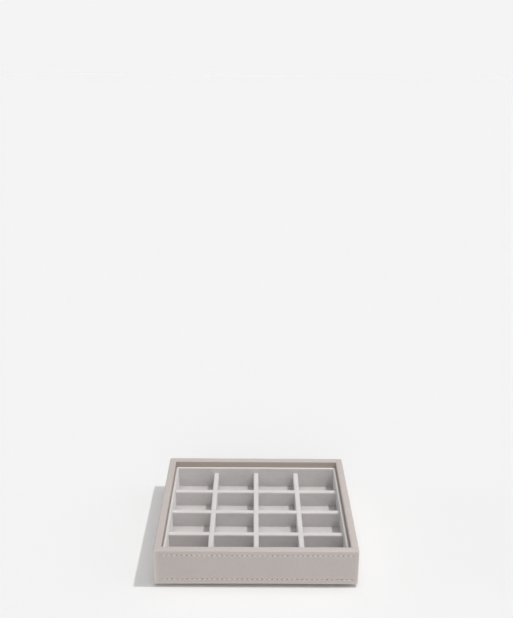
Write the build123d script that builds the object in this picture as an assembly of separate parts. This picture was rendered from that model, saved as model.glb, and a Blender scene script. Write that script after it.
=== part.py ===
from build123d import *
import os

# Jewelry tray: an open case of wrapped boards, with a lift-out velvet insert that a grid
# of half-lapped dividers splits into cells. Millimetres, +Z up, +X to the right, and the
# front faces -Y. The origin is the middle of the footprint, on the surface under the tray.

# Cells
cell_columns = 4
cell_rows = 4
cell_width = 36.2
cell_length = 30.2
cell_depth = 15.65

# Velvet on the walls, the dividers and the floor of the insert
velvet_thickness = 0.8

# Dividers: a slotted card under a velvet sleeve
divider_card_thickness = 3.4
divider_edge_radius = 1.2
divider_end_gap = 0.15
slot_clearance = 0.15
slot_height_share = 0.5

# Insert walls and base
wall_card_thickness = 1.5
insert_edge_radius = 0.8
wall_above_dividers = 5.85
base_card_thickness = 1.8
floor_velvet_gap = 0.1

# Room between the insert and the case
insert_gap = 0.3
rim_above_insert = 6.6
lining_thickness = 0.5
lining_gap = 0.1

# Case walls: boards inside a leatherette cover
case_board_thickness = 5.1
case_board_rim_radius = 0.4
case_board_corner_radius = 0.8
cover_thickness = 0.8
cover_hem_radius = 0.8
base_board_thickness = 3.0

# Two sunk lines of stitching on the outer face of each cover
stitch_line_below_rim = 4.2
stitch_line_above_hem = 5.5
stitch_line_end = 6.0
stitch_channel_width = 1.0
stitch_channel_depth = 0.25

# Foot under the case, which drops inside the rim of a tray below
foot_board_thickness = 2.8
foot_velvet_thickness = 0.8
foot_nesting_gap = 1.0
foot_corner_radius = 2.0

# How far a cutting block runs past what it cuts
overrun = 5.0

# Thicknesses that follow
divider_thickness = divider_card_thickness + 2 * velvet_thickness
insert_wall_thickness = wall_card_thickness + 2 * velvet_thickness
case_wall_thickness = case_board_thickness + 2 * cover_thickness

# Plan sizes that follow, from the cells outwards
cells_width = cell_columns * cell_width + (cell_columns - 1) * divider_thickness
cells_length = cell_rows * cell_length + (cell_rows - 1) * divider_thickness
insert_width = cells_width + 2 * insert_wall_thickness
insert_length = cells_length + 2 * insert_wall_thickness
bay_width = insert_width + 2 * insert_gap
bay_length = insert_length + 2 * insert_gap
case_width = bay_width + 2 * case_wall_thickness
case_length = bay_length + 2 * case_wall_thickness
foot_width = bay_width - 2 * foot_nesting_gap
foot_length = bay_length - 2 * foot_nesting_gap

# Heights that follow, from the table upwards
foot_board_low = foot_velvet_thickness
case_low = foot_board_low + foot_board_thickness
base_board_high = case_low + base_board_thickness
insert_low = base_board_high + lining_thickness
base_card_high = insert_low + base_card_thickness
floor_high = base_card_high + velvet_thickness
dividers_high = floor_high + cell_depth
insert_high = dividers_high + wall_above_dividers
case_high = insert_high + rim_above_insert
slot_middle = floor_high + slot_height_share * cell_depth

# Each side is the front turned about Z by so many quarter turns as its place here
sides = ("front", "right", "back", "left")

os.makedirs("parts", exist_ok=True)


def save(name, solid):
    export_step(solid, os.path.join("parts", name + ".step"))


def block(width, length, low, high, corner_radius=0):
    # A flat block about the Z axis, with its four upright edges rounded where a radius is given
    if corner_radius:
        outline = RectangleRounded(width, length, corner_radius)
    else:
        outline = Rectangle(width, length)
    return extrude(Pos(0, 0, low) * outline, high - low)


def wall_frame(width, length, low, high, thickness, corner_radius=0, rim_radius=0, hem_radius=0):
    # Four walls in one, rounded at the outer corners, along both edges of the rim and round the hem
    walls = block(width, length, low, high, corner_radius)
    if hem_radius:
        walls = fillet(walls.edges().group_by(Axis.Z)[0], hem_radius)
    walls = walls - block(width - 2 * thickness, length - 2 * thickness, low - overrun, high + overrun)
    if rim_radius:
        walls = fillet(walls.edges().group_by(Axis.Z)[-1], rim_radius)
    return walls


def side_lengths(side, width, length):
    # The size along a side of a frame, then the size across the frame to the side opposite
    return (width, length) if side in ("front", "back") else (length, width)


def turned_to(side, shape):
    # A shape made for the front, turned about Z to the given side
    return Rot(0, 0, 90 * sides.index(side)) * shape


def mitred(walls, side, width, length, low, high, thickness):
    # One side of a frame of walls, cut at the two mitre lines that start at that side's outer corners
    along, across = side_lengths(side, width, length)
    reach = thickness + overrun
    outer = Vector(along / 2 + overrun, across / 2 + overrun)
    inner = Vector(along / 2 - reach, across / 2 - reach)
    outline = Polygon(
        (-outer.X, -outer.Y), (outer.X, -outer.Y), (inner.X, -inner.Y), (-inner.X, -inner.Y), align=None
    )
    wedge = extrude(Pos(0, 0, low - overrun) * outline, high - low + 2 * overrun)
    return walls & turned_to(side, wedge)


def stitch_channels(side):
    # Two shallow grooves of round section along the outer face of one side of the case
    half_width = stitch_channel_width / 2
    radius = (half_width**2 + stitch_channel_depth**2) / (2 * stitch_channel_depth)
    along, across = side_lengths(side, case_width, case_length)
    groove = Rot(0, 90, 0) * Cylinder(radius, along - 2 * stitch_line_end)
    groove = Pos(0, -across / 2 - radius + stitch_channel_depth, 0) * groove
    upper = Pos(0, 0, case_high - stitch_line_below_rim) * groove
    lower = Pos(0, 0, case_low + stitch_line_above_hem) * groove
    return [turned_to(side, line) for line in (upper, lower)]


# Foot
foot_board = block(foot_width, foot_length, foot_board_low, case_low, foot_corner_radius)
foot_velvet = block(foot_width, foot_length, 0, foot_board_low, foot_corner_radius)
save("foot_board", foot_board)
save("foot_velvet", foot_velvet)

# Case
base_width = bay_width + 2 * cover_thickness
base_length = bay_length + 2 * cover_thickness
base_board = block(base_width, base_length, case_low, base_board_high)
save("case_base_board", base_board)

base_lining = block(bay_width - 2 * lining_gap, bay_length - 2 * lining_gap, base_board_high, insert_low)
save("case_base_lining", base_lining)

case_boards = wall_frame(
    case_width - 2 * cover_thickness,
    case_length - 2 * cover_thickness,
    case_low + cover_thickness,
    case_high - cover_thickness,
    case_board_thickness,
    corner_radius=case_board_corner_radius,
    rim_radius=case_board_rim_radius,
)
case_covers = wall_frame(
    case_width,
    case_length,
    case_low,
    case_high,
    case_wall_thickness,
    corner_radius=case_board_corner_radius + cover_thickness,
    rim_radius=case_board_rim_radius + cover_thickness,
    hem_radius=cover_hem_radius,
)
case_covers = case_covers - case_boards - base_board
case_sizes = (case_width, case_length, case_low, case_high, case_wall_thickness)
for side in sides:
    cover = mitred(case_covers, side, *case_sizes)
    for channel in stitch_channels(side):
        cover = cover - channel
    save("case_" + side + "_board", mitred(case_boards, side, *case_sizes))
    save("case_" + side + "_cover", cover)

# Insert base and walls
base_card_width = cells_width + 2 * velvet_thickness
base_card_length = cells_length + 2 * velvet_thickness
base_card = block(base_card_width, base_card_length, insert_low, base_card_high)
save("insert_base_card", base_card)

floor_velvet = block(
    cells_width - 2 * floor_velvet_gap, cells_length - 2 * floor_velvet_gap, base_card_high, floor_high
)
save("insert_floor_velvet", floor_velvet)

insert_cards = wall_frame(
    insert_width - 2 * velvet_thickness,
    insert_length - 2 * velvet_thickness,
    insert_low + velvet_thickness,
    insert_high - velvet_thickness,
    wall_card_thickness,
)
insert_velvets = wall_frame(
    insert_width,
    insert_length,
    insert_low,
    insert_high,
    insert_wall_thickness,
    corner_radius=insert_edge_radius,
    rim_radius=insert_edge_radius,
    hem_radius=insert_edge_radius,
)
insert_velvets = insert_velvets - insert_cards - base_card
insert_sizes = (insert_width, insert_length, insert_low, insert_high, insert_wall_thickness)
for side in sides:
    save("insert_" + side + "_wall", mitred(insert_cards, side, *insert_sizes))
    save("insert_" + side + "_velvet", mitred(insert_velvets, side, *insert_sizes))


def divider(length, crossings, slot_low, slot_high):
    # The card of one divider along X and the velvet folded over its top, its faces and its two ends,
    # both slotted where the other dividers cross
    card_length = length - 2 * velvet_thickness
    card = block(card_length, divider_card_thickness, floor_high, dividers_high - velvet_thickness)
    sleeve = block(length, divider_thickness, floor_high, dividers_high)
    sleeve = fillet(sleeve.edges().group_by(Axis.Z)[-1], divider_edge_radius) - card
    slot_width = divider_thickness + 2 * slot_clearance
    slot = block(slot_width, divider_thickness + 2 * overrun, slot_low, slot_high)
    for crossing in crossings:
        card = card - Pos(crossing, 0, 0) * slot
        sleeve = sleeve - Pos(crossing, 0, 0) * slot
    return card, sleeve


def grid_lines(count, cell_size):
    # Where the middle planes of the dividers lie, counted from the negative end
    pitch = cell_size + divider_thickness
    return [(number - count / 2) * pitch for number in range(1, count)]


# Dividers: rows run along X with slots from the top, columns run along Y with slots from below
column_places = grid_lines(cell_columns, cell_width)
row_places = grid_lines(cell_rows, cell_length)

row_card, row_sleeve = divider(
    cells_width - 2 * divider_end_gap, column_places, slot_middle, dividers_high + overrun
)
for number, place in enumerate(row_places, start=1):
    save(f"row_divider_{number}_card", Pos(0, place, 0) * row_card)
    save(f"row_divider_{number}_velvet", Pos(0, place, 0) * row_sleeve)

column_card, column_sleeve = divider(
    cells_length - 2 * divider_end_gap, row_places, floor_high - overrun, slot_middle + slot_clearance
)
for number, place in enumerate(column_places, start=1):
    turned = Pos(place, 0, 0) * Rot(0, 0, 90)
    save(f"column_divider_{number}_card", turned * column_card)
    save(f"column_divider_{number}_velvet", turned * column_sleeve)

print("tray", round(case_width, 2), "by", round(case_length, 2), "by", round(case_high, 2), "mm")
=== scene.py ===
import math

import bpy
import numpy as np
from mathutils import Matrix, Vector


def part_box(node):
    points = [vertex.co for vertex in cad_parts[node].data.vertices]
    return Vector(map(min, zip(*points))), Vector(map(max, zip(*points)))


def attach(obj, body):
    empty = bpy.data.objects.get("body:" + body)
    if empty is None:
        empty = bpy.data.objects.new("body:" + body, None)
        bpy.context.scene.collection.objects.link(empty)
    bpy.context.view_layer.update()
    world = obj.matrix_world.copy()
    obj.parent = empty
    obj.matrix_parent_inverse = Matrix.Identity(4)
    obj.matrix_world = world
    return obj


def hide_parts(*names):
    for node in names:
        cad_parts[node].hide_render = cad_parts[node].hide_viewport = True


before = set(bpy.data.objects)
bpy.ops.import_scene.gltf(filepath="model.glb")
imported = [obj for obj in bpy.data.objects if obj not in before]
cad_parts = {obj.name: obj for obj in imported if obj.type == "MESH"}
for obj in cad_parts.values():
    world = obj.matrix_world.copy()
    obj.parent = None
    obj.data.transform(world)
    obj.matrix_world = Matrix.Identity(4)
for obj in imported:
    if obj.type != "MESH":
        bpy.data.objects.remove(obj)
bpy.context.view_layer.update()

# A shallow open tray: boards wrapped in stitched leatherette, and a velvet insert with a grid of cells.
# Metres, +Z up, the front faces -Y.

mm = 0.001
sides = ("front", "right", "back", "left")
scene = bpy.context.scene
rng = np.random.default_rng(41)
print("frame loaded:", len(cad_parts), "solids")


# Materials


def paint(red, green, blue):
    # A screen colour, 0 to 255, as the linear colour that a shader takes
    shares = [c / 255 for c in (red, green, blue)]
    linear = [s / 12.92 if s <= 0.04045 else ((s + 0.055) / 1.055) ** 2.4 for s in shares]
    return (*linear, 1.0)


class Wire:
    # A number that varies over a surface: sums and products on wires add Math nodes
    def __init__(self, finish, socket):
        self.finish, self.socket = finish, socket

    def maths(self, operation, first, second):
        return self.finish.add("ShaderNodeMath", {"operation": operation}, {0: first, 1: second})

    def __add__(self, other):
        return self.maths("ADD", self, other)

    def __radd__(self, other):
        return self.maths("ADD", other, self)

    def __sub__(self, other):
        return self.maths("SUBTRACT", self, other)

    def __rsub__(self, other):
        return self.maths("SUBTRACT", other, self)

    def __mul__(self, other):
        return self.maths("MULTIPLY", self, other)

    def __rmul__(self, other):
        return self.maths("MULTIPLY", other, self)

    def __truediv__(self, other):
        return self.maths("DIVIDE", self, other)

    def __rtruediv__(self, other):
        return self.maths("DIVIDE", other, self)

    def __pow__(self, other):
        return self.maths("POWER", self, other)


class Finish:
    # A material, or a world, under construction
    def __init__(self, name, library="materials"):
        self.material = getattr(bpy.data, library).new(name)
        self.material.use_nodes = True
        self.tree = self.material.node_tree
        self.tree.nodes.clear()

    def add(self, kind, settings=None, inputs=None, out=0):
        # A node of any type: its settings first, then the values or links of its sockets
        node = self.tree.nodes.new(kind)
        for key, value in (settings or {}).items():
            setattr(node, key, value)
        for key, value in (inputs or {}).items():
            if isinstance(value, Wire):
                self.tree.links.new(value.socket, node.inputs[key])
            else:
                node.inputs[key].default_value = value
        return Wire(self, node.outputs[out]) if node.outputs else None

    def place(self):
        return self.add("ShaderNodeTexCoord", out="Object")

    def noise(self, scale, detail=3, roughness=0.5, stretch=(1, 1, 1)):
        spot = self.add("ShaderNodeMapping", {}, {"Vector": self.place(), "Scale": stretch})
        inputs = {"Vector": spot, "Scale": scale, "Detail": detail, "Roughness": roughness}
        return self.add("ShaderNodeTexNoise", {}, inputs)

    def blendColours(self, share, first, second):
        return self.add("ShaderNodeMix", {"data_type": "RGBA"}, {0: share, 6: first, 7: second}, out=2)

    def mark(self, name):
        # A number painted on the mesh's points
        return self.add("ShaderNodeAttribute", {"attribute_name": name}, out="Fac")

    def relief(self, height, depth, strength=1.0):
        return self.add("ShaderNodeBump", {}, {"Strength": strength, "Distance": depth, "Height": height})

    def close(self, **sockets):
        named = {key.replace("_", " "): value for key, value in sockets.items()}
        shader = self.add("ShaderNodeBsdfPrincipled", {}, named)
        self.add("ShaderNodeOutputMaterial", {}, {"Surface": shader})
        return self.material


leatherLook = {
    "colour": (200, 191, 187),
    "valley": (182, 172, 168),
    # the painted highlight: lighter on the hem, the corners and beside the lines of stitches
    "leatherHighlight": (217, 208, 202),
    # painted shade: the inner face above the insert, darker and warmer
    "inside": (180, 169, 159),  # the side turned to the insert
    # painted shade in the needle holes and along the folds at the mitres
    "shadedHole": (86, 74, 69),
    "grain": 0.0011,  # metres across one pebble
    "grainDepth": 0.00006,
    "warpScale": 900,
    "fineScale": 5200,
    "cloudScale": 38,
    "roughness": 0.56,
}


def leatherFinish(name, look):
    # Pebbles with darker valleys between them, over fine noise and broad clouds, then painted shade and
    # highlight
    f = Finish(name)
    warp = f.noise(look["warpScale"], 2)
    pebbles = f.add(
        "ShaderNodeTexVoronoi", {"feature": "SMOOTH_F1"},
        {"Vector": f.place(), "Scale": 1 / look["grain"], "Smoothness": 0.6, "Randomness": 1.0},
    )
    fine = f.noise(look["fineScale"], 4, 0.6)
    height = 1 - pebbles * 1.1 + fine * 0.35 + warp * 0.2
    cloud = f.noise(look["cloudScale"], 3)
    valley = pebbles * 0.5 + (cloud - 0.5) * 0.35
    colour = f.blendColours(valley, paint(*look["colour"]), paint(*look["valley"]))
    # Painted shade: darker and warmer on the inner face above the insert
    colour = f.blendColours(f.mark("inside"), colour, paint(*look["inside"]))
    # Painted highlight on the hem, the corners and beside the lines of stitches
    colour = f.blendColours(f.mark("leatherHighlight") * (0.55 + fine * 0.5), colour, paint(*look["leatherHighlight"]))
    # Painted shade in the needle holes and along the mitre folds
    colour = f.blendColours(f.mark("shadedHole"), colour, paint(*look["shadedHole"]))
    return f.close(
        Base_Color=colour,
        Roughness=look["roughness"] + (fine - 0.5) * 0.16 + (cloud - 0.5) * 0.1,
        Specular_IOR_Level=0.35,
        Normal=f.relief(height, look["grainDepth"]),
    )


velvetLook = {
    "colour": (216, 213, 212),
    "shade": (199, 196, 195),
    "velvetHighlight": (231, 228, 227),  # painted highlight on the tops and on one inner face
    "pile": 0.00022,  # metres across one tuft of pile
    "pileDepth": 0.00012,
    "brushedScale": 70,
    "strokeScale": 260,
    "paintedShadeTone": 0.82,  # how dark the painted shade in creases and cell corners is, against the shade tone
    "roughness": 0.92,
    "sheen": 0.28,
}


def velvetFinish(name, look):
    # Fine tufts, with broad patches where the pile is brushed another way, then painted shade and highlight
    f = Finish(name)
    tufts = f.noise(1 / look["pile"], 3, 0.65)
    brushed = f.noise(look["brushedScale"], 4, 0.6, stretch=(0.45, 1, 1))
    stroke = f.noise(look["strokeScale"], 3, 0.6)
    share = (brushed - 0.42) * 1.6 + (stroke - 0.5) * 0.7 + (tufts - 0.5) * 0.8
    colour = f.blendColours(share, paint(*look["colour"]), paint(*look["shade"]))
    paintedShadeColour = paint(*[c * look["paintedShadeTone"] for c in look["shade"]])
    # Painted shade in creases, beside slot walls and in the cells' corners
    colour = f.blendColours(f.mark("paintedShade") * 0.6, colour, paintedShadeColour)
    # Painted highlight on the tops and on one inner face
    colour = f.blendColours(f.mark("light"), colour, paint(*look["velvetHighlight"]))
    return f.close(
        Base_Color=colour,
        Roughness=look["roughness"] + (tufts - 0.5) * 0.12,
        Specular_IOR_Level=0.15,
        Sheen_Weight=look["sheen"],
        Sheen_Roughness=0.45,
        Normal=f.relief(tufts + stroke * 0.6, look["pileDepth"], 0.8),
    )


def boardFinish(name, colour, fleck, grain, depth=0.00005):
    # Raw board, card or paper: two tones mixed by fine and broad noise
    f = Finish(name)
    fibres = f.noise(1 / grain, 4, 0.7, stretch=(0.35, 1, 1))
    broad = f.noise(55, 3)
    base = f.blendColours(fibres * 0.9 + (broad - 0.5) * 0.5, paint(*colour), paint(*fleck))
    return f.close(
        Base_Color=base,
        Roughness=0.86 + (fibres - 0.5) * 0.15,
        Specular_IOR_Level=0.2,
        Normal=f.relief(fibres, depth),
    )


threadLook = {
    "colour": (240, 233, 227),
    "dark": (218, 209, 203),
    "twist": 7.0,
    "fuzzScale": 9000,
    "roughness": 0.62,
    "depth": 0.00006,
}


def threadFinish(name, look):
    # Two plies twisted round each other: bands slanting along the piece's own UV map
    f = Finish(name)
    uv = f.add("ShaderNodeUVMap", {"uv_map": "along"})
    bands = f.add(
        "ShaderNodeTexWave", {"wave_type": "BANDS", "bands_direction": "DIAGONAL"},
        {"Vector": uv, "Scale": look["twist"], "Distortion": 0.4, "Detail": 1.0}, out="Fac",
    )
    fuzz = f.noise(look["fuzzScale"], 2)
    colour = f.blendColours(bands * 0.6 + fuzz * 0.3, paint(*look["dark"]), paint(*look["colour"]))
    return f.close(
        Base_Color=colour,
        Roughness=look["roughness"] + (fuzz - 0.5) * 0.2,
        Specular_IOR_Level=0.3,
        Normal=f.relief(bands, look["depth"]),
    )


leather = leatherFinish("taupeLeatherette", leatherLook)
velvet = velvetFinish("greyVelvet", velvetLook)
# The foot velvet is painted dark as shade: it stands in for the shadow under the case
shadeDarkFootVelvet = velvetFinish("shadeDarkFootVelvet", {**velvetLook, "colour": (104, 98, 94), "shade": (88, 82, 78)})
fibreboard = boardFinish("fibreboard", (176, 150, 122), (146, 120, 94), 0.0007)
lining = boardFinish("liningPaper", (178, 168, 162), (164, 154, 148), 0.0005)
greyboard = boardFinish("greyBoard", (166, 160, 152), (138, 132, 126), 0.0006)
thread = threadFinish("taupeThread", threadLook)
print("materials made")


# Surfaces


def finishMesh(name, points, faces, material, body, marks=None, creaseAngle=48):
    # Turns the faces outward by the sign of the enclosed volume, smooths them and puts the piece on its body
    tris = np.concatenate([faces[:, [0, 1, 2]], faces[:, [0, 2, 3]]])
    a, b, c = (points[tris[:, k]] for k in range(3))
    if np.einsum("ij,ij->i", a, np.cross(b, c)).sum() < 0:
        faces = faces[:, ::-1]
    mesh = bpy.data.meshes.new(name)
    mesh.from_pydata(points, [], faces.tolist())
    mesh.polygons.foreach_set("use_smooth", np.ones(len(mesh.polygons), bool))
    mesh.set_sharp_from_angle(angle=math.radians(creaseAngle))
    for key, values in (marks or {}).items():
        painted = mesh.attributes.new(key, "FLOAT", "POINT").data
        painted.foreach_set("value", values.astype(np.float32).ravel())
    mesh.materials.append(material)
    mesh.validate()
    piece = bpy.data.objects.new(name, mesh)
    scene.collection.objects.link(piece)
    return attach(piece, body)


def quads(grid, wrap=False):
    # The four corners of each square of a grid of point numbers, closed on itself across the rows if asked
    if wrap:
        grid = np.concatenate([grid, grid[:, :1]], 1)
    return np.stack([grid[:-1, :-1], grid[1:, :-1], grid[1:, 1:], grid[:-1, 1:]], -1).reshape(-1, 4)


def thickSheet(outer, inner):
    # Two like grids of points, the skin and its back, joined along their four borders into one closed piece
    rows, columns = outer.shape[:2]
    front = np.arange(rows * columns).reshape(rows, columns)
    back = front + rows * columns
    border = [np.stack([front[k], back[k]]) for k in (0, -1)]
    border += [np.stack([front[:, k], back[:, k]]) for k in (0, -1)]
    first, last, left, right = (quads(b) for b in border)
    faces = np.concatenate([quads(front), quads(back)[:, ::-1], first[:, ::-1], last, left, right[:, ::-1]])
    return np.concatenate([outer.reshape(-1, 3), inner.reshape(-1, 3)]), faces


def onFace(values):
    # A mark for each point of such a sheet: the given values on its skin, nothing on its back
    return np.concatenate([values.ravel(), np.zeros(values.size)])


def held(share):
    # A share kept between 0 and 1
    return np.clip(share, 0, 1)


def dip(distance, width):
    # A smooth hollow: e to the minus square of distance over width
    return np.exp(-((distance / width) ** 2))


def quarter(centre, radius, start, count=9):
    # Points on a quarter circle, clockwise from the start angle, with their directions from the centre
    angles = np.radians(np.linspace(start, start - 90, count))
    ways = np.stack([np.cos(angles), np.sin(angles)], 1)
    return np.asarray(centre) + radius * ways, ways


def run(start, end, steps, way):
    # Points along a straight run, both ends left out, at the given shares of it
    steps = np.asarray(steps)[:, None]
    points = np.asarray(start) * (1 - steps) + np.asarray(end) * steps
    return points, np.tile(way, (len(points), 1))


def evenly(count):
    # The middles of so many equal parts of the way from 0 to 1
    return (np.arange(count) + 0.5) / count


def wrapSection(wall, low, high, rim, hem, underEnd, innerEnd, faceSteps):
    # The section of a skin wrapped round a wall, in inset and height: under it, up the outer face,
    # over the rounded rim and down the inner face, with the way outward at each point
    parts = [
        ([[underEnd, low]], [[0, -1]]),
        run((underEnd, low), (hem, low), evenly(4), (0, -1)),
        quarter((hem, low + hem), hem, -90),
        run((0, low + hem), (0, high - rim), faceSteps, (-1, 0)),
        quarter((rim, high - rim), rim, 180),
        run((rim, high), (wall - rim, high), evenly(7), (0, 1)),
        quarter((wall - rim, high - rim), rim, 90),
        run((wall, high - rim), (wall, innerEnd), evenly(16), (1, 0)),
        ([[wall, innerEnd]], [[1, 0]]),
    ]
    return np.concatenate([p for p, _ in parts]), np.concatenate([w for _, w in parts])


def carry(section, ways, half, corner, straight, turns=8, least=0.00005):
    # The section carried along the front of a frame: x = t (half width - inset - r) along the run, then an
    # eighth turn of radius r = corner - inset at each end, so the piece stops at the mitre
    bend = np.radians(np.linspace(45, 0, turns, endpoint=False))
    t = np.concatenate([-np.ones(turns), straight, np.ones(turns)])
    angle = np.concatenate([-bend, np.zeros(len(straight)), bend[::-1]])
    inset, height = section[:, :1], section[:, 1:]
    radius = np.maximum(corner - inset, least)
    x = t * (half[0] - inset - radius) + radius * np.sin(angle)
    y = -(half[1] - inset - radius) - radius * np.cos(angle)
    points = np.stack([x, y, height + 0 * x], -1)
    flat = np.stack([np.sin(angle), -np.cos(angle), 0 * angle], -1)
    outward = -ways[:, :1, None] * flat[None] + ways[:, 1:, None] * np.array([0, 0, 1.0])
    return points, outward


def turned(points, side):
    # The front turned about Z by quarter turns to the side it stands for
    c, s = ((1, 0), (0, 1), (-1, 0), (0, -1))[sides.index(side)]
    x, y, z = points[..., 0], points[..., 1], points[..., 2]
    return np.stack([c * x - s * y, s * x + c * y, z], -1)


def alongFirst(half, side):
    # Half the size along a side of a frame, then half the size across it
    return half if side in ("front", "back") else half[::-1]


def ripple(u, v, size, seed):
    # Gentle unevenness between -1 and 1: a sum of slanting sine waves of about the given size
    waves = np.random.default_rng(seed)
    total = 0
    for k in range(5):
        heading, phase = waves.uniform(0, 2 * math.pi, 2)
        pitch = size * waves.uniform(0.7, 1.7)
        total = total + np.sin((u * math.cos(heading) + v * math.sin(heading)) * 2 * math.pi / pitch + phase)
    return total / 5


# Case

caseHalf = (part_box("case_right_cover")[1].x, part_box("case_back_cover")[1].y)
coverLow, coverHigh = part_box("case_front_cover")[0].z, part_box("case_front_cover")[1].z
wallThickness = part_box("case_front_cover")[1].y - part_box("case_front_cover")[0].y
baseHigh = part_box("case_base_board")[1].z

coverLook = {
    "thickness": 0.75 * mm,
    "underEnd": 0.8 * mm,  # how far short of the inner face it ends underneath
    "corner": 1.6 * mm,
    "rim": 1.2 * mm,
    "hem": 0.8 * mm,
    "belowRim": 4.63 * mm,  # the upper line of stitches
    "aboveHem": 4.66 * mm,  # the lower one
    "lineEnd": 6.4 * mm,
    "lineFade": 0.6 * mm,
    "pitch": 4.4 * mm,
    "shift": {"front": 1.03 * mm, "right": 0, "back": 0, "left": 0},  # of the middle of the lines
    "sink": 0.17 * mm,  # how deep the thread pulls the cover in
    "sinkWidth": 0.5 * mm,
    "needle": 0.22 * mm,
    "needleWidth": 0.52 * mm,
    "slack": 0.5,  # how shallow the slackest needle hole is
    "tight": 1.1,  # and how deep the tightest
    "puff": 0.22 * mm,
    "edgePuff": 0.12 * mm,  # the same between a line and the edge beside it
    "crown": 0.1 * mm,  # of the rim
    "fold": 0.07 * mm,  # how deep the fold along a mitre is
    "foldWidth": 0.4 * mm,
    "uneven": 0.05 * mm,
    "unevenSize": 21 * mm,
    # over what lengths the face ends inwards, the rim starts, the unevenness rises from the hem, and the
    # painted shade of the inner face starts and rises from the rim
    "faceFade": 0.4 * mm,
    "topFade": 0.3 * mm,
    "calm": 4 * mm,
    "innerShadeFade": 0.2 * mm,
    "innerShadeRise": 1.5 * mm,
    "sag": 0.45 * mm,  # how far the hem hangs below the board
    "cornerSag": 0.25 * mm,  # how much more at the corners
    "leftSag": 0.4 * mm,  # and towards the left end of the front
    "tuck": 0.65 * mm,  # how far the corners pull in at the hem
    "tuckHeight": 3.0 * mm,
    # how much painted highlight lies on the hem, the left and right corners and the lines, and how wide it is
    "hemHighlight": 0.6,
    "leftCornerHighlight": 1,
    "rightCornerHighlight": 0.35,
    "lineHighlight": 0.3,
    "hemHighlightWidth": 0.7 * mm,
    "cornerHighlightWidth": 3.0 * mm,
    "lineHighlightWidth": 1.6 * mm,
    "foldShade": 0.12,
    "foldShadeWidth": 0.15 * mm,
    # rows of points up the face, and those that crowd round a line, so many millimetres to each side
    "faceRows": 26,
    "lineRows": 13,
    "lineReach": 1.2,
    # columns of points, in millimetres from a needle hole and from the ends of the straight part
    "holeColumns": (-1.7, -1.2, -0.75, -0.35, 0, 0.35, 0.75, 1.2, 1.7),
    "endColumns": (0, 0.7, 1.5, 2.4, 3.4),
}


def stitchPlaces(side, look):
    # Needle holes along one side, spread evenly between the two ends of its lines
    reach = alongFirst(caseHalf, side)[0] - look["lineEnd"]
    count = round(2 * reach / look["pitch"])
    return np.linspace(-reach, reach, count + 1) + look["shift"][side]


def stitchLines(look):
    # The heights of the lower and the upper line
    return np.array([coverLow + look["aboveHem"], coverHigh - look["belowRim"]])


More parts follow.
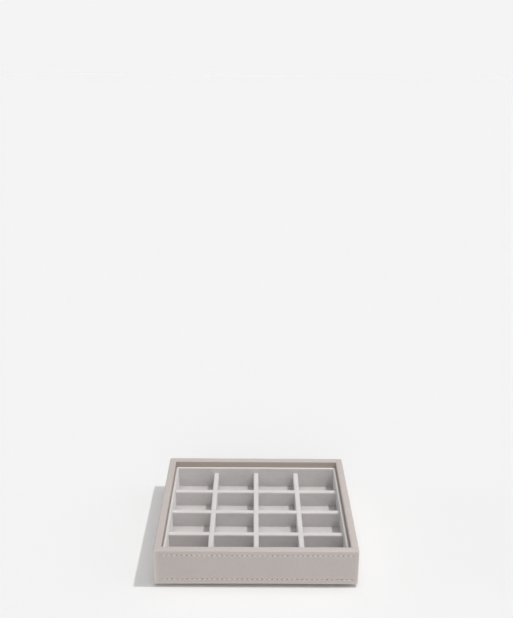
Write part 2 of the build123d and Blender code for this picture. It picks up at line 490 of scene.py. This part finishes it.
def coverSide(side, look, seed):
    # A skin wrapped round one wall of the case, whose points crowd round the lines of stitches and the needle
    # holes: its outer side is the plain wrap plus a height along the way outward, its back the wrap less its
    # thickness
    half = alongFirst(caseHalf, side)
    lines = stitchLines(look)
    faceLow, faceHigh = coverLow + look["hem"], coverHigh - look["rim"]
    crowd = np.linspace(-look["lineReach"], look["lineReach"], look["lineRows"]) * mm
    heights = np.unique(np.concatenate(
        [np.linspace(faceLow, faceHigh, look["faceRows"])[1:-1]] + [line + crowd for line in lines]
    ))
    section, ways = wrapSection(
        wallThickness, coverLow, coverHigh, look["rim"], look["hem"],
        wallThickness - look["underEnd"], baseHigh, (heights - faceLow) / (faceHigh - faceLow),
    )
    holes = stitchPlaces(side, look)
    straightEnd = half[0] - look["corner"]
    byHoles = (holes[:, None] + np.array(look["holeColumns"]) * mm).ravel()
    ends = straightEnd - np.array(look["endColumns"]) * mm
    along = np.unique(np.clip(np.concatenate([byHoles, -ends, ends]), -straightEnd, straightEnd))
    points, outward = carry(section, ways, half, look["corner"], along / straightEnd)
    x, z = points[..., 0], points[..., 2]
    inset = np.broadcast_to(section[:, :1], x.shape)

    # Height above the plain skin: the face puffs between the lines, which pull it in, most at the holes
    face = held(1 - inset / look["faceFade"])
    lineReach = half[0] - look["lineEnd"] + look["lineFade"]
    within = held((lineReach - np.abs(x - look["shift"][side])) / look["lineFade"])
    number = np.clip(np.round((x - holes[0]) / (holes[1] - holes[0])), 0, len(holes) - 1).astype(int)
    nearest = np.abs(x - holes[number])
    pull = np.random.default_rng(seed).uniform(look["slack"], look["tight"], (len(lines), len(holes)))
    middle = held((z - lines[0]) / (lines[1] - lines[0]))
    edgeFade = 1 - held(np.abs(x) / half[0]) ** 14
    below = held((z - faceLow) / (lines[0] - faceLow))
    above = held((z - lines[1]) / (faceHigh - lines[1]))
    lift = look["puff"] * 4 * middle * (1 - middle) * edgeFade
    lift = lift + look["edgePuff"] * 4 * (below * (1 - below) + above * (1 - above)) * edgeFade
    shadedHole = 0
    for line, strength in zip(lines, pull):
        lift = lift - look["sink"] * dip(z - line, look["sinkWidth"]) * within
        shadedHole = shadedHole + dip(np.hypot(nearest, z - line), look["needleWidth"]) * within * strength[number]
    lift = (lift - look["needle"] * shadedHole) * face

    # The rim is a little crowned, and the fold pulls in along the mitre
    top = held((z - coverHigh + look["topFade"]) / look["topFade"])
    across = held(inset / wallThickness)
    mitre = (half[0] - inset) - np.abs(x)
    crown = look["crown"] * 4 * across * (1 - across)
    lift = lift + top * (crown - look["fold"] * dip(mitre, look["foldWidth"]) * across)
    calm = held(np.abs(z - coverLow) / look["calm"])
    lift = lift + look["uneven"] * ripple(x + inset, z, look["unevenSize"], seed) * calm

    # The hem sags, and its corners are tucked in
    sag = look["sag"] + look["cornerSag"] * (np.abs(x) / half[0]) ** 8
    if side == "front":
        sag = sag + look["leftSag"] * held(-x / half[0])
    lift = lift + sag * held(1 - (z - coverLow) / look["hem"]) ** 2
    nearHem = held(1 - (z - coverLow) / look["tuckHeight"]) ** 2 * held(-ways[:, :1]) ** 2
    lift = lift - look["tuck"] * nearHem * dip(half[0] - np.abs(x), look["corner"])
    outer = points + outward * lift[..., None]
    inner = points - outward * look["thickness"]
    mesh, faces = thickSheet(turned(outer, side), turned(inner, side))

    # Painted highlight: lighter on the rounded hem, at the corners, more on the left, and beside each line
    leatherHighlight = face * dip(z - (coverLow + 0.6 * look["hem"]), look["hemHighlightWidth"]) * look["hemHighlight"]
    atCorner = dip(half[0] - np.abs(x), look["cornerHighlightWidth"])
    leatherHighlight = leatherHighlight + face * atCorner * np.where(x < 0, look["leftCornerHighlight"], look["rightCornerHighlight"])
    for line in lines:
        leatherHighlight = leatherHighlight + face * dip(z - line, look["lineHighlightWidth"]) * look["lineHighlight"] * within
    # Painted shade on the inner face above the insert
    inside = held((inset - wallThickness + look["innerShadeFade"]) / look["innerShadeFade"])
    inside = inside * held((coverHigh - z) / look["innerShadeRise"])
    # Painted shade: dark needle holes, and a faint dark line along the fold at the mitre
    shadedHole = shadedHole * face + top * dip(mitre, look["foldShadeWidth"]) * across * look["foldShade"]
    piece = finishMesh(
        "leather_" + side, mesh, faces, leather, "case",
        {"leatherHighlight": onFace(held(leatherHighlight)), "inside": onFace(inside), "shadedHole": onFace(held(shadedHole))},
    )
    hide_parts(f"case_{side}_cover")


for number, side in enumerate(sides):
    coverSide(side, coverLook, 11 + number)
print("leatherette covers made")

stitchLook = {
    "gap": 1.05 * mm,
    "thick": 0.28 * mm,
    "wide": 0.44 * mm,
    "rise": 0.2 * mm,
    "root": 0.30 * mm,  # how deep in the leatherette both ends start
    "lean": 0.10 * mm,
    "jitter": 0.05 * mm,
    "hoops": 8,
    "corners": 6,
    "creaseAngle": 80,
}


def stitches(side, look):
    # Each stitch is a bowed thread, with s from 0 to 1 along it: its centre line stands out by
    # (rise + thick) sin(pi s)^0.6 - root, and its oval section is thick by wide, times sin(pi s)^0.35
    holes = stitchPlaces(side, coverLook)
    half = alongFirst(caseHalf, side)
    lines = stitchLines(coverLook)
    start, end = holes[:-1] + look["gap"] / 2, holes[1:] - look["gap"] / 2
    line = np.repeat(lines, len(start))[:, None, None]
    start, end = (np.tile(v, len(lines))[:, None, None] for v in (start, end))
    count, hoops, corners = len(start), look["hoops"], look["corners"]
    s = np.linspace(0.03, 0.97, hoops)[None, :, None]
    angle = (np.arange(corners) * 2 * math.pi / corners)[None, None, :]
    lean = rng.normal(0, look["lean"], (count, 1, 1))
    jitter = rng.normal(0, look["jitter"], (count, 1, 1))
    bow = np.sin(math.pi * s)
    radius = bow ** 0.35
    x = start + (end - start) * s + jitter + 0 * angle
    out = -look["root"] + (look["rise"] + look["thick"]) * bow ** 0.6 + radius * look["thick"] * np.cos(angle)
    z = line + lean * (s - 0.5) * 2 + radius * look["wide"] * np.sin(angle)
    points = np.stack([x, -(half[1] + out) + 0 * x, z + 0 * x], -1)
    grid = np.arange(count * hoops * corners).reshape(count, hoops, corners)
    ends = np.concatenate([grid[:, 0], grid[:, -1, ::-1]])
    caps = [ends[:, [0, 1, 2, 3]], ends[:, [0, 3, 4, 5]]]
    faces = np.concatenate([quads(g, wrap=True) for g in grid] + caps)
    piece = finishMesh(
        "stitches_" + side, turned(points, side).reshape(-1, 3), faces, thread, "case",
        creaseAngle=look["creaseAngle"],
    )
    uv = piece.data.uv_layers.new(name="along")
    loop = np.zeros(len(piece.data.loops), int)
    piece.data.loops.foreach_get("vertex_index", loop)
    lengthwise = np.broadcast_to(s, grid.shape).ravel()[loop]
    around = np.broadcast_to(angle / (2 * math.pi), grid.shape).ravel()[loop]
    uv.data.foreach_set("uv", np.stack([lengthwise, around], 1).astype(np.float32).ravel())


for side in sides:
    stitches(side, stitchLook)
print("stitches made")

# Foot: velvet drawn over the foot board's underside and up its edges
footLook = {
    "proud": 0.3 * mm,
    "corner": 2.0 * mm,
    "leastCorner": 0.25 * mm,
    "edge": 0.7 * mm,
    "belowBoardTop": 0.15 * mm,  # where its upper border ends
    "border": 0.2 * mm,  # how much that is rounded
    "uneven": 0.05 * mm,
    "unevenSize": 19 * mm,
    "skin": 0.05 * mm,
    # the outer face is uneven from so far above the ground, and it takes so long to rise
    "calm": 0.2 * mm,
    "rise": 0.5 * mm,
    "rows": (60, 46, 34, 24, 16, 10, 6, 3),  # millimetres from the edge, over and under
    "sideSteps": 61,
    "turnSteps": 6,
    "creaseAngle": 60,
}


def roundedLoop(sideSteps, turnSteps):
    # Once round a rectangle, for each point: its share of the way to the corners in x and y, and the way
    # outward there
    shares, ways = [], []
    steps = np.linspace(-1, 1, sideSteps)
    quarterTurn = np.array([[0, -1], [1, 0]], float)
    for k in range(4):
        turn = np.radians(90 * k + np.linspace(0, 90, turnSteps + 1))[1:-1] - math.pi / 2
        spin = np.linalg.matrix_power(quarterTurn, k)
        straight = np.stack([steps, -np.ones(sideSteps)], 1) @ spin.T
        shares += [straight, np.tile(np.array([1.0, -1.0]) @ spin.T, (len(turn), 1))]
        ways += [np.tile(np.array([0.0, -1.0]) @ spin.T, (sideSteps, 1))]
        ways += [np.stack([np.cos(turn), np.sin(turn)], 1)]
    return np.concatenate(shares), np.concatenate(ways)


def footCover(look):
    # A closed section, from the middle outwards under the board, up the board's edge, down the outside and
    # back to the middle underneath, carried round a rounded rectangle: x = share (half width - inset - r) +
    # r way, and so too y
    low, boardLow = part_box("foot_velvet")[0].z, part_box("foot_velvet")[1].z
    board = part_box("foot_board")[1]
    high = board.z - look["belowBoardTop"]
    half = np.array([board.x + look["proud"], board.y + look["proud"]])
    rows = np.array(look["rows"]) * mm
    inside, over = look["proud"] - look["skin"], boardLow - look["skin"]
    border, edgeTop = high - look["border"], low + look["edge"]
    section = np.concatenate([
        np.stack([rows, np.full(len(rows), over)], 1),
        [[inside, over], [inside, border], [look["proud"] * 0.5, high], [0, border]],
        np.stack([np.zeros(4), np.linspace(border, edgeTop, 6)[1:-1]], 1),
        quarter((look["edge"], edgeTop), look["edge"], 270)[0][::-1],
        np.stack([rows[::-1], np.full(len(rows), low)], 1),
    ])
    shares, ways = roundedLoop(look["sideSteps"], look["turnSteps"])
    inset, height = section[:, :1], section[:, 1:]
    r = np.maximum(look["corner"] + look["proud"] - inset, look["leastCorner"])
    x = shares[:, 0] * (half[0] - inset - r) + r * ways[:, 0]
    y = shares[:, 1] * (half[1] - inset - r) + r * ways[:, 1]
    z = height + 0 * x
    outside = held(1 - inset / look["skin"]) * held((z - low - look["calm"]) / look["rise"])
    push = look["uneven"] * ripple(x + y, z - x, look["unevenSize"], 91) * outside
    points = np.stack([x + push * ways[:, 0], y + push * ways[:, 1], z], -1)
    grid = np.arange(x.size).reshape(x.shape)
    faces = [quads(grid, wrap=True)]
    # Both middles are closed by strips across the short way, from the front to the back of the last loop
    n = grid.shape[1]
    for loop in (grid[0][::-1], grid[-1]):
        upper, lower = np.roll(loop, n // 8)[: n // 2], np.roll(loop, n // 8)[n // 2:][::-1]
        faces.append(quads(np.stack([upper, lower])))
    piece = finishMesh(
        "velvet_foot", points.reshape(-1, 3), np.concatenate(faces), shadeDarkFootVelvet, "case",
        {"paintedShade": np.zeros(x.size)}, creaseAngle=look["creaseAngle"],
    )
    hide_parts("foot_velvet")


footCover(footLook)
print("foot velvet made")


def paintSolid(node, material):
    # A solid that keeps its shape and gets a material
    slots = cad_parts[node].data.materials
    slots.clear()
    slots.append(material)


paintSolid("foot_board", fibreboard)
paintSolid("case_base_board", fibreboard)
paintSolid("case_base_lining", lining)
paintSolid("insert_base_card", greyboard)
for side in sides:
    paintSolid(f"case_{side}_board", fibreboard)
    paintSolid(f"insert_{side}_wall", greyboard)
print("boards and cards painted")


# Insert

insertHalf = (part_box("insert_right_velvet")[1].x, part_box("insert_back_velvet")[1].y)
insertLow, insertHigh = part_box("insert_front_velvet")[0].z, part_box("insert_front_velvet")[1].z
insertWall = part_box("insert_front_velvet")[1].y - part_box("insert_front_velvet")[0].y
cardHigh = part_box("insert_base_card")[1].z
velvetThick = insertHalf[0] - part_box("insert_right_wall")[1].x

pileLook = {
    "edge": 0.8 * mm,
    "hidden": 0.4 * mm,  # how far the skin's back lies behind its face
    "pressed": 0.65 * mm,  # how much nearer to the card it lies on the side of the cells
    "thin": 0.12 * mm,  # how thick it is there
    "proud": 0.12 * mm,
    "most": 0.16 * mm,  # the most that it stands out anywhere
    "crown": 0.10 * mm,
    "fold": 0.15 * mm,  # how deep the fold along a mitre is
    "foldWidth": 0.5 * mm,
    "paintedShadeWidth": 0.3 * mm,
    "uneven": 0.06 * mm,
    "unevenSize": 17 * mm,
    # over what lengths the top starts, the unevenness rises from the base card, the outer face ends inwards
    # and rises from the foot, and the painted highlight on the inner face starts and rises from the top
    "topFade": 0.3 * mm,
    "calm": 3 * mm,
    "outsideFade": 0.3 * mm,
    "outsideRise": 3 * mm,
    "innerFade": 0.1 * mm,
    "innerRise": 1 * mm,
    "columns": 150,  # of points along a wall
    # how much painted highlight each wall's top gets, and each inner face
    "topHighlight": {"front": 1, "right": 1, "back": 1, "left": 0.4},
    "innerFaceHighlight": {"front": 0, "right": 0, "back": 0, "left": 1},
}


def velvetSide(side, look, seed):
    # A skin wrapped round one wall of the insert: its face is the plain wrap plus, along the way outward and
    # never more than "most", uneven * ripple + top * (crown - fold * dip(distance to the mitre)), and proud
    # besides on the outer face
    half = alongFirst(insertHalf, side)
    wall = insertWall - look["pressed"]
    cardInside = insertWall - velvetThick
    section, ways = wrapSection(
        wall, insertLow, insertHigh, look["edge"], look["edge"], cardInside, cardHigh, evenly(18)
    )
    points, outward = carry(section, ways, half, look["edge"], np.linspace(-1, 1, look["columns"]))
    x, z = points[..., 0], points[..., 2]
    inset = np.broadcast_to(section[:, :1], x.shape)
    top = held((z - insertHigh + look["topFade"]) / look["topFade"])
    mitre = (half[0] - inset) - np.abs(x)
    calm = held((z - cardHigh) / look["calm"])
    lift = look["uneven"] * ripple(x, z + inset, look["unevenSize"], seed) * calm
    lift = lift + top * (look["crown"] - look["fold"] * dip(mitre, look["foldWidth"]))
    outside = held(1 - inset / look["outsideFade"]) * held((z - insertLow) / look["outsideRise"])
    lift = np.minimum(lift + look["proud"] * outside, look["most"])
    outer = points + outward * lift[..., None]
    depth = look["hidden"] + (look["thin"] - look["hidden"]) * held(ways[:, :1])
    inner = points - outward * depth[..., None]
    mesh, faces = thickSheet(turned(outer, side), turned(inner, side))
    # Painted shade along the fold at each mitre of the top
    paintedShade = held(top * dip(mitre, look["paintedShadeWidth"]))
    # Painted highlight: lighter on the top, and on the left wall's inner face
    innerFace = (inset > wall - look["innerFade"]) * held((insertHigh - z) / look["innerRise"])
    light = np.maximum(innerFace * look["innerFaceHighlight"][side], top * look["topHighlight"][side])
    piece = finishMesh(
        "velvet_" + side, mesh, faces, velvet, "insert",
        {"paintedShade": onFace(paintedShade), "light": onFace(light)},
    )
    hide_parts(f"insert_{side}_velvet")


for number, side in enumerate(sides):
    velvetSide(side, pileLook, 31 + number)
print("velvet walls made")

sleeveLook = {
    "edge": 1.2 * mm,
    "skin": 0.72 * mm,
    "clearance": 0.15 * mm,  # of the solids' slots
    "crown": 0.12 * mm,
    "crownRun": 14 * mm,  # how far past a slot the crown and the unevenness take to rise
    "uneven": 0.07 * mm,
    "unevenSize": 15 * mm,
    "most": 0.1 * mm,  # the most that the unevenness stands out
    "touch": 0.14 * mm,  # how far the walls of the slots close in on what crosses there
    "shoulder": 0.23 * mm,  # a row's top follows a column's rounded edge: so far in at shoulderDrop
    "shoulderDrop": 0.5 * mm,
    "reach": 0.75 * mm,  # and so far in at its top
    "sunk": 0.07 * mm,  # how far both tops sink where they meet
    "sunkWidth": 1.4,  # against half a slot
    "slotDrop": 0.05 * mm,  # how far a row's slot is cut below mid height
    "paintedShade": 0.2,
    "paintedShadeWidth": 0.5 * mm,
    "light": 0.4,  # painted highlight on the top
    "stations": 120,
    "nearest": 0.004 * mm,  # how near to each other two stations may stand
    "sideRows": 9,
    "edgeRows": 7,
    # millimetres from a slot's wall: two stations off it, its top, three down it and one past it
    "steps": (0.6, 0.3, 0, -0.006, -0.012, -0.018, -0.024),
}
endGap = 0.2 * mm + pileLook["pressed"]  # from the end of a divider's solid to the velvet of the wall


def sleeveStations(length, crossings, slotHalf, steps, look):
    # Places along a sleeve, evenly spread out to the velvet of the walls and crowded at its slots' walls
    stations = [np.linspace(-length / 2, length / 2, look["stations"]) * (1 + 2 * endGap / length)]
    for c in crossings:
        for sign in (-1, 1):
            stations += [c + sign * (slotHalf + steps), [c + sign * slotHalf * 0.5]]
    u = np.unique(np.concatenate(stations))
    keep = np.ones(len(u), bool)
    keep[1:] = np.diff(u) > look["nearest"]
    return u[keep]


def sleeveSection(thick, look):
    # From the foot of one side over the rounded top to the foot of the other, for each point: its share of
    # the side's height, whether it is on the rounding, how far across and above the top it lies, and its way
    # outward
    edge, sideRows, edgeRows = look["edge"], look["sideRows"], look["edgeRows"]
    left, leftWays = quarter((0, 0), edge, 180, edgeRows)
    right, rightWays = quarter((0, 0), edge, 90, edgeRows)
    plain, share = np.zeros(sideRows), evenly(sideRows)
    columns = (
        [share, np.ones(2 * edgeRows), share[::-1]],
        [plain, np.ones(2 * edgeRows), plain],
        [plain - thick / 2, left[:, 0] - thick / 2 + edge, right[:, 0] + thick / 2 - edge, plain + thick / 2],
        [plain, left[:, 1] - edge, right[:, 1] - edge, plain],
        [plain - 1, leftWays[:, 0], rightWays[:, 0], plain + 1],
        [plain, leftWays[:, 1], rightWays[:, 1], plain],
    )
    return (np.concatenate(column)[:, None] for column in columns)


def sleeve(kind, number, look, seed):
    # A velvet sleeve over one divider: straight sides and a rounded top, carried along it, with the height of
    # each side foot + share (top - edge - foot). At each crossing its top (rows) or its foot (columns) steps
    # to mid height, where the other set passes
    node = f"{kind}_divider_{number}_velvet"
    low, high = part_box(node)
    row = kind == "row"
    lengthAxis, widthAxis = ("x", "y") if row else ("y", "x")
    length, thick = (getattr(high, axis) - getattr(low, axis) for axis in (lengthAxis, widthAxis))
    middle = (getattr(low, widthAxis) + getattr(high, widthAxis)) / 2
    others = [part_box(f"{'column' if row else 'row'}_divider_{k}_velvet") for k in (1, 2, 3)]
    crossings = np.array([(getattr(a, lengthAxis) + getattr(b, lengthAxis)) / 2 for a, b in others])
    slotHalf = thick / 2 + look["clearance"]
    slotHeight = (low.z + high.z) / 2 + (0 if row else look["clearance"])
    steps = np.array(look["steps"]) * mm
    away, _, wallTop, shoulder, shoulderFoot, wallFoot, past = steps
    u = sleeveStations(length, crossings, slotHalf, steps, look)
    apart = np.abs(u[:, None] - crossings)
    gap = np.min(apart, 1) - slotHalf  # past the slot's wall
    toward = np.sign(u - crossings[np.argmin(apart, 1)])
    inSlot = gap < shoulder / 2

    # How high it stands and how far the walls of its slots close in, at each station
    if row:
        topZ = np.interp(
            gap, [wallFoot, shoulderFoot, shoulder, wallTop, away],
            [slotHeight - look["slotDrop"], high.z - look["edge"], high.z - look["shoulderDrop"],
             high.z - look["sunk"], high.z],
        )
        footZ = np.full(len(u), low.z)
    else:
        topZ = high.z - look["sunk"] * dip(gap + slotHalf, slotHalf * look["sunkWidth"])
        footZ = np.where(inSlot, slotHeight, low.z)
    over = np.array([0, 0, look["shoulder"], look["reach"]]) * row
    places = [past, wallFoot, shoulderFoot, shoulder, wallTop, away]
    placed = u - toward * np.interp(gap, places, [0, *(look["touch"] + over), 0])
    # The skin's back stands off from the wall of a row's slot by the skin's thickness
    standOff = held(1 - gap / (2 * look["skin"])) * (gap > (past + wallFoot) / 2) * row
    placedBack = u + toward * look["skin"] * standOff
    rise = held(gap / look["crownRun"])
    crown = look["crown"] * np.sin(math.pi * rise / 2) * ~inSlot

    share, rounded, across, above, wayAcross, wayUp = sleeveSection(thick, look)
    z = np.where(rounded > 0, topZ + above, footZ + (topZ - look["edge"] - footZ) * share)
    z[0], z[-1] = footZ, footZ
    uneven = look["uneven"] * ripple(u + 0 * z, z + across, look["unevenSize"], seed) * rise
    lift = np.minimum(uneven, look["most"])

    def place(lengthwise, sideways, height):
        lengthwise, sideways = (np.broadcast_to(v, height.shape) for v in (lengthwise, sideways))
        if row:
            return np.stack([lengthwise, middle + sideways, height], -1)
        return np.stack([middle - sideways, lengthwise, height], -1)

    mesh, faces = thickSheet(
        place(placed, across + wayAcross * lift, z + wayUp * (crown + lift)),
        place(placedBack, across - wayAcross * look["skin"], z - wayUp * look["skin"]),
    )
    # Painted shade on the top beside each slot
    paintedShade = look["paintedShade"] * dip(np.maximum(gap, 0), look["paintedShadeWidth"]) * (wayUp > 0.3)
    # Painted highlight: lighter the more the surface faces up
    light = np.broadcast_to(look["light"] * wayUp ** 2, z.shape)
    piece = finishMesh(
        f"sleeve_{kind}_{number}", mesh, faces, velvet, "insert",
        {"paintedShade": onFace(paintedShade), "light": onFace(light)},
    )
    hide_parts(node)


for number in (1, 2, 3):
    sleeve("row", number, sleeveLook, 50 + number)
    sleeve("column", number, sleeveLook, 60 + number)
    for kind in ("row", "column"):
        paintSolid(f"{kind}_divider_{number}_card", greyboard)
print("divider sleeves made")

floorLook = {
    "swell": 0.16 * mm,
    "uneven": 0.05 * mm,
    "unevenSize": 14 * mm,
    "step": 1.1 * mm,
    "spread": 0.7 * mm,  # how far it runs past its solid, to the pressed velvet of the walls
    "paintedShade": 0.5,
}


def floorVelvet(look):
    # A thin skin: its top rises in each cell by swell * root of sin * root of sin, and lies flat under the
    # dividers
    low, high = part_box("insert_floor_velvet")
    spread = look["spread"]
    xs = np.linspace(low.x - spread, high.x + spread, round((high.x - low.x) / look["step"]))
    ys = np.linspace(low.y - spread, high.y + spread, round((high.y - low.y) / look["step"]))
    x, y = np.meshgrid(xs, ys, indexing="ij")

    def swell(place, kind, axis):
        # Zero under each divider and at the walls, one in the middle of a cell
        edges = [getattr(low, axis)]
        for k in (1, 2, 3):
            a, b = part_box(f"{kind}_divider_{k}_velvet")
            edges += [getattr(a, axis), getattr(b, axis)]
        edges.append(getattr(high, axis))
        total = 0
        for a, b in zip(edges[::2], edges[1::2]):
            total = total + held(np.sin(math.pi * held((place - a) / (b - a)))) ** 0.5
        return total

    rise = swell(x, "column", "x") * swell(y, "row", "y")
    z = high.z + rise * (look["swell"] + look["uneven"] * ripple(x, y, look["unevenSize"], 77))
    mesh, faces = thickSheet(np.stack([x, y, z], -1), np.stack([x, y, np.full_like(x, low.z)], -1))
    # Painted shade where the floor lies flat, under the dividers and along the walls
    piece = finishMesh(
        "velvet_floor", mesh, faces, velvet, "insert",
        {"paintedShade": onFace(held(1 - rise * 1.3) * look["paintedShade"])},
    )
    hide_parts("insert_floor_velvet")


floorVelvet(floorLook)
print("velvet floor made")


# Stage, light and camera

stageLook = {
    "floor": (244, 244, 244),
    "size": 14.0,
    "fill": 0.23,  # even light from all round
    "key": 26.6,  # watts of the near lamp
    "keyPlace": (0.485, -0.068, 1.176),
    "keyRadius": 0.03,
    "keyLevel": 0.441,  # what the key gives the floor straight under it
    "farLevel": 0.543,  # what all else gives the open floor
    "mostTone": 0.98,
    # soft lamps: the way towards each, its strength and how wide it is in degrees
    "soft": {
        "front": ((0.0, -0.98, 0.21), 0.837, 50),
        "above": ((0.0, 0.0, 1.0), 0.762, 60),
        "right": ((0.93, 0.0, 0.37), 0.42, 60),
        "left": ((-0.995, 0.0, 0.1), 0.5, 18),
    },
}


def shownTo(f, lighting, seen):
    # The second shader for camera, glossy and transmission rays, the first for all others
    camera = f.add("ShaderNodeLightPath", out="Is Camera Ray")
    kinds = camera.socket.node.outputs
    share = camera + Wire(f, kinds["Is Glossy Ray"]) + Wire(f, kinds["Is Transmission Ray"])
    return f.add("ShaderNodeMixShader", {}, {0: share, 1: lighting, 2: seen})


def makeStage(look):
    # Light paths see a plain floor. The camera sees it evened out, as far as the key's light falls off:
    # unshaded level = far level + key level (h^2 / (h^2 + distance^2))^1.5, and colour and glow make it up to
    # white
    f = Finish("paleFloor")
    white = paint(*look["floor"])
    level = white[0]
    plain = f.add("ShaderNodeBsdfDiffuse", {}, {"Color": white})
    x0, y0, height = look["keyPlace"]
    place = f.add("ShaderNodeSeparateXYZ", {}, {0: f.place()}, out="X")
    away = place.socket.node.outputs
    dx, dy = Wire(f, away["X"]) - x0, Wire(f, away["Y"]) - y0
    share = (height ** 2 / (dx * dx + dy * dy + height ** 2)) ** 1.5
    unshaded = look["farLevel"] + look["keyLevel"] * share
    evened = level * level / unshaded
    tone = f.add("ShaderNodeMath", {"operation": "MINIMUM"}, {0: evened, 1: look["mostTone"]})
    glow = level - tone * unshaded / level
    grey, light = (f.add("ShaderNodeCombineColor", {}, {0: v, 1: v, 2: v}) for v in (tone, glow))
    shown = f.add("ShaderNodeAddShader", {}, {
        0: f.add("ShaderNodeBsdfDiffuse", {}, {"Color": grey}),
        1: f.add("ShaderNodeEmission", {}, {"Color": light}),
    })
    f.add("ShaderNodeOutputMaterial", {}, {"Surface": shownTo(f, plain, shown)})
    reach = look["size"] / 2
    corners = [(-reach, -reach, 0), (reach, -reach, 0), (reach, reach, 0), (-reach, reach, 0)]
    mesh = bpy.data.meshes.new("floor")
    mesh.from_pydata(corners, [], [(0, 1, 2, 3)])
    mesh.materials.append(f.material)
    floor = bpy.data.objects.new("floor", mesh)
    scene.collection.objects.link(floor)

    # A direct look at the world shows the backdrop
    w = Finish("studio", "worlds")
    scene.world = w.material
    fill = w.add("ShaderNodeBackground", {}, {"Color": (1, 1, 1, 1), "Strength": look["fill"]})
    backdrop = w.add("ShaderNodeBackground", {}, {"Color": white})
    w.add("ShaderNodeOutputWorld", {}, {"Surface": shownTo(w, fill, backdrop)})


def softLamp(name, way, strength, angle):
    # A wide sun whose light comes from the given way
    lamp = bpy.data.lights.new(name, "SUN")
    lamp.energy, lamp.angle = strength, math.radians(angle)
    holder = bpy.data.objects.new(name, lamp)
    x, y, z = np.array(way) / np.linalg.norm(way)
    holder.rotation_euler = (math.acos(z), 0, math.atan2(x, -y))
    scene.collection.objects.link(holder)


def keyLamp(look):
    # The near lamp, which casts the shadow on the ground
    lamp = bpy.data.lights.new("key", "POINT")
    lamp.energy, lamp.shadow_soft_size = look["key"], look["keyRadius"]
    holder = bpy.data.objects.new("key", lamp)
    holder.location = look["keyPlace"]
    scene.collection.objects.link(holder)


makeStage(stageLook)
keyLamp(stageLook)
for name, (way, strength, angle) in stageLook["soft"].items():
    softLamp(name, way, strength, angle)

cameraLook = {
    "place": (-3.842 * mm, -654.486 * mm, 470.757 * mm),
    "down": 19.9479,  # degrees below the level
    "turn": -0.2476,
    "roll": 0.4278,
    "lens": 46.2734,
}


def makeCamera(look):
    # Turned by turn about +Z, tilted down from level and then rolled about its own line of sight
    data = bpy.data.cameras.new("camera")
    data.lens, data.sensor_width, data.sensor_fit = look["lens"], 36, "AUTO"
    data.clip_start, data.clip_end = 0.02, 60
    camera = bpy.data.objects.new("camera", data)
    turn, tilt, roll = (math.radians(look[k]) for k in ("turn", "down", "roll"))
    aim = Matrix.Rotation(turn, 4, "Z") @ Matrix.Rotation(math.pi / 2 - tilt, 4, "X")
    camera.matrix_world = Matrix.Translation(look["place"]) @ aim @ Matrix.Rotation(roll, 4, "Z")
    scene.collection.objects.link(camera)
    scene.camera = camera


makeCamera(cameraLook)
scene.view_settings.view_transform = "Standard"
print("stage, light and camera set")
